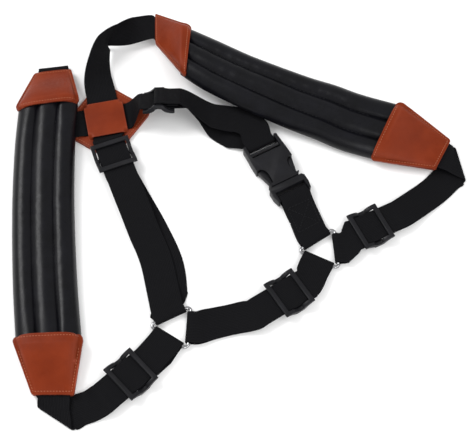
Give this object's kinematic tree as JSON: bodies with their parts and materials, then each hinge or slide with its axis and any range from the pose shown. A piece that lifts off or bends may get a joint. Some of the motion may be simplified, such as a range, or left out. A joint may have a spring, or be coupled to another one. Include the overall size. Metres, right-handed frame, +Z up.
{
  "type": "saxophone shoulder harness",
  "caption": "Shoulder harness for a saxophone laid out flat: padded shoulder straps, leather back yoke, webbing straps with adjusters, a side-release buckle and triangular rings",
  "frame": {"origin": "centre of the yoke's underside, on the table", "axes": "+Z is up from the table, +Y runs roughly along the left pad from its lower cap to its upper cap, and +X runs roughly along the right pad from its upper cap to its lower cap"},
  "size_m": [0.4409, 0.4451, 0.043],
  "materials": {
    "leather": "smooth cognac leather with edge stitching",
    "pad_cover": "satin black synthetic leather",
    "foam": "closed-cell foam",
    "lining": "black mesh lining",
    "webbing": "black woven polyester webbing",
    "plastic": "moulded black acetal",
    "ring_wire": "polished"
  },
  "bodies": {
    "harness": {"ring_left": "ring_wire", "ring_right": "ring_wire", "buckle_plug": "plastic", "pad_cover_left": "pad_cover", "pad_foam_left": "foam", "pad_lining_left": "lining", "pad_cover_right": "pad_cover", "pad_foam_right": "foam", "pad_lining_right": "lining", "cap_left_upper_front": "leather", "cap_left_upper_back": "leather", "cap_left_lower_front": "leather", "cap_left_lower_back": "leather", "cap_right_upper_front": "leather", "cap_right_upper_back": "leather", "cap_right_lower_front": "leather", "cap_right_lower_back": "leather", "yoke_back": "leather", "yoke_front": "leather", "webbing_back_left": "webbing", "webbing_back_right": "webbing", "webbing_front_left": "webbing", "webbing_front_right": "webbing", "webbing_chest": "webbing", "webbing_buckle": "webbing"},
    "adjuster_back_left": {"adjuster_back_left": "plastic", "sewn_end_back_left": "webbing"},
    "adjuster_back_right": {"adjuster_back_right": "plastic", "sewn_end_back_right": "webbing"},
    "adjuster_front_left": {"adjuster_front_left": "plastic", "sewn_end_front_left": "webbing"},
    "adjuster_front_right": {"adjuster_front_right": "plastic", "sewn_end_front_right": "webbing"},
    "adjuster_chest": {"adjuster_chest": "plastic", "sewn_end_chest": "webbing"},
    "buckle_socket": {"buckle_socket": "plastic"},
    "arm_left": {"buckle_arm_left": "plastic"},
    "arm_right": {"buckle_arm_right": "plastic"}
  },
  "joints": [
    {"name": "slide_back_left", "type": "slide", "parent": "harness", "child": "adjuster_back_left", "axis": [0.3584, -0.9336, 0], "range_m": [0, 0.025]},
    {"name": "slide_back_right", "type": "slide", "parent": "harness", "child": "adjuster_back_right", "axis": [0.9994, 0.0349, 0], "range_m": [0, 0.008]},
    {"name": "slide_front_left", "type": "slide", "parent": "harness", "child": "adjuster_front_left", "axis": [-0.7314, -0.682, 0], "range_m": [0, 0.011]},
    {"name": "slide_front_right", "type": "slide", "parent": "harness", "child": "adjuster_front_right", "axis": [0.8988, 0.4384, 0], "range_m": [0, 0.011]},
    {"name": "slide_chest", "type": "slide", "parent": "harness", "child": "adjuster_chest", "axis": [-0.8387, -0.5446, 0], "range_m": [0, 0.017]},
    {"name": "buckle_release", "type": "slide", "parent": "harness", "child": "buckle_socket", "axis": [-0.4848, 0.8746, 0], "range_m": [0, 0.032], "deforming": ["webbing_back_right", "buckle_arm_left", "buckle_arm_right"]},
    {"name": "squeeze_right", "type": "hinge", "parent": "harness", "child": "arm_right", "pos_m": [0.18637, -0.0706, 0.0062], "axis": [0, 0, 1], "range_deg": [0, 14], "stiffness_Nm_per_rad": 0.05},
    {"name": "squeeze_left", "type": "hinge", "parent": "harness", "child": "arm_left", "pos_m": [0.16957, -0.0799, 0.0062], "axis": [0, 0, -1], "range_deg": [0, 14], "stiffness_Nm_per_rad": 0.05}
  ],
  "couplings": [
    {"joint": "squeeze_left", "follows": "squeeze_right", "ratio": 1}
  ]
}
